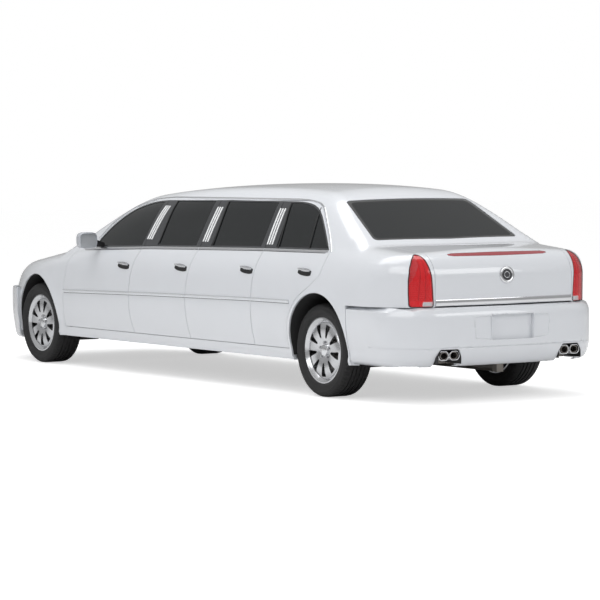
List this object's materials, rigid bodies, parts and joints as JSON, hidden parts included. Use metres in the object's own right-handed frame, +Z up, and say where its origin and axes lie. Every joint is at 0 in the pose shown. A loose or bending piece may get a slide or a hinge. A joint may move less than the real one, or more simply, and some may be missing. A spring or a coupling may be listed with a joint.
{
  "type": "eight-door stretch limousine",
  "caption": "Long white stretch limousine saloon with side-hinged doors, dark windows, chrome trims, alloy wheels, an opening bonnet and boot lid, and steered front wheels.",
  "frame": {"origin": "on the ground, half way along the car, on its centre line", "axes": "+Z up, +Y towards the tail, +X towards the car's left side; the nose points to -Y"},
  "size_m": [2.21, 6.6, 1.5599],
  "materials": {
    "paint": "gloss silver-white paint",
    "dark_glass": "dark tinted, polished",
    "clear_glass": "lightly tinted, polished",
    "rim_metal": "polished",
    "tyre_rubber": "matt",
    "black_steel": "satin black",
    "cast_metal": "rough",
    "chrome": "polished",
    "red_lens": "gloss red lens",
    "clear_lens": "gloss clear lens",
    "seat_leather": "semi-matt",
    "trim_plastic": "grained",
    "steel": "plain",
    "mirror_paint": "silver-grey gloss"
  },
  "bodies": {
    "root": {"body_pillars": "paint", "cowl_panel": "paint", "sills": "paint", "rear_quarters": "paint", "roof_panel": "paint", "floor_pan": "black_steel", "front_wings": "paint", "front_bumper": "paint", "rear_bumper": "paint", "windscreen": "clear_glass", "rear_window": "dark_glass", "front_frame": "black_steel", "front_suspension": "cast_metal", "rear_axle": "cast_metal", "engine": "cast_metal", "fuel_tank": "black_steel", "exhaust": "steel", "wheel_housings": "trim_plastic", "dashboard": "trim_plastic", "steering_column": "trim_plastic", "front_seats": "seat_leather", "second_row_seat": "seat_leather", "third_row_seat": "seat_leather", "rear_seat": "seat_leather", "headlamps": "clear_lens", "grille": "chrome", "tail_lamps": "red_lens"},
    "left_door_1_body": {"left_door_1": "paint", "left_door_glass_1": "dark_glass", "left_mirror": "mirror_paint"},
    "left_door_2_body": {"left_door_2": "paint", "left_door_glass_2": "dark_glass"},
    "left_door_3_body": {"left_door_3": "paint", "left_door_glass_3": "dark_glass"},
    "left_door_4_body": {"left_door_4": "paint", "left_door_glass_4": "dark_glass"},
    "right_door_1_body": {"right_door_1": "paint", "right_door_glass_1": "dark_glass", "right_mirror": "mirror_paint"},
    "right_door_2_body": {"right_door_2": "paint", "right_door_glass_2": "dark_glass"},
    "right_door_3_body": {"right_door_3": "paint", "right_door_glass_3": "dark_glass"},
    "right_door_4_body": {"right_door_4": "paint", "right_door_glass_4": "dark_glass"},
    "bonnet_body": {"bonnet": "paint"},
    "boot_lid_body": {"boot_lid": "paint", "stop_lamp": "red_lens"},
    "left_knuckle_body": {"left_knuckle": "cast_metal"},
    "front_left_wheel": {"front_left_rim": "rim_metal", "front_left_tyre": "tyre_rubber"},
    "rear_left_wheel": {"rear_left_rim": "rim_metal", "rear_left_tyre": "tyre_rubber"},
    "right_knuckle_body": {"right_knuckle": "cast_metal"},
    "front_right_wheel": {"front_right_rim": "rim_metal", "front_right_tyre": "tyre_rubber"},
    "rear_right_wheel": {"rear_right_rim": "rim_metal", "rear_right_tyre": "tyre_rubber"},
    "steering_wheel_body": {"steering_wheel": "trim_plastic"}
  },
  "joints": [
    {"name": "left_door_1_hinge", "type": "hinge", "parent": "root", "child": "left_door_1_body", "pos_m": [0.936, -1.686, 0.68], "axis": [0, 0, -1], "range_deg": [0, 65]},
    {"name": "left_door_2_hinge", "type": "hinge", "parent": "root", "child": "left_door_2_body", "pos_m": [0.936, -0.567, 0.68], "axis": [0, 0, -1], "range_deg": [0, 65]},
    {"name": "left_door_3_hinge", "type": "hinge", "parent": "root", "child": "left_door_3_body", "pos_m": [0.936, 0.334, 0.68], "axis": [0, 0, -1], "range_deg": [0, 65]},
    {"name": "left_door_4_hinge", "type": "hinge", "parent": "root", "child": "left_door_4_body", "pos_m": [0.936, 1.305, 0.68], "axis": [0, 0, -1], "range_deg": [0, 60]},
    {"name": "right_door_1_hinge", "type": "hinge", "parent": "root", "child": "right_door_1_body", "pos_m": [-0.936, -1.686, 0.68], "axis": [0, 0, 1], "range_deg": [0, 65]},
    {"name": "right_door_2_hinge", "type": "hinge", "parent": "root", "child": "right_door_2_body", "pos_m": [-0.936, -0.567, 0.68], "axis": [0, 0, 1], "range_deg": [0, 65]},
    {"name": "right_door_3_hinge", "type": "hinge", "parent": "root", "child": "right_door_3_body", "pos_m": [-0.936, 0.334, 0.68], "axis": [0, 0, 1], "range_deg": [0, 65]},
    {"name": "right_door_4_hinge", "type": "hinge", "parent": "root", "child": "right_door_4_body", "pos_m": [-0.936, 1.305, 0.68], "axis": [0, 0, 1], "range_deg": [0, 60]},
    {"name": "bonnet_hinge", "type": "hinge", "parent": "root", "child": "bonnet_body", "pos_m": [0, -1.982, 0.955], "axis": [-1, 0, 0], "range_deg": [0, 50]},
    {"name": "boot_lid_hinge", "type": "hinge", "parent": "root", "child": "boot_lid_body", "pos_m": [0, 2.66, 1.056], "axis": [1, 0, 0], "range_deg": [0, 75]},
    {"name": "left_steering", "type": "hinge", "parent": "root", "child": "left_knuckle_body", "pos_m": [0.7, -2.295, 0.346], "axis": [0, 0, 1], "range_deg": [-33, 33]},
    {"name": "front_left_roll", "type": "hinge", "parent": "left_knuckle_body", "child": "front_left_wheel", "pos_m": [0.788, -2.295, 0.346], "axis": [1, 0, 0], "continuous": true},
    {"name": "rear_left_roll", "type": "hinge", "parent": "root", "child": "rear_left_wheel", "pos_m": [0.788, 2.15, 0.346], "axis": [1, 0, 0], "continuous": true},
    {"name": "right_steering", "type": "hinge", "parent": "root", "child": "right_knuckle_body", "pos_m": [-0.7, -2.295, 0.346], "axis": [0, 0, 1], "range_deg": [-33, 33]},
    {"name": "front_right_roll", "type": "hinge", "parent": "right_knuckle_body", "child": "front_right_wheel", "pos_m": [-0.788, -2.295, 0.346], "axis": [1, 0, 0], "continuous": true},
    {"name": "rear_right_roll", "type": "hinge", "parent": "root", "child": "rear_right_wheel", "pos_m": [-0.788, 2.15, 0.346], "axis": [1, 0, 0], "continuous": true},
    {"name": "steering_wheel_turn", "type": "hinge", "parent": "root", "child": "steering_wheel_body", "pos_m": [0.375, -1.17, 0.9], "axis": [0, 0.9063, 0.4226], "range_deg": [-495, 495]}
  ],
  "couplings": [
    {"joint": "right_steering", "follows": "left_steering", "ratio": 1},
    {"joint": "steering_wheel_turn", "follows": "left_steering", "ratio": 15}
  ]
}
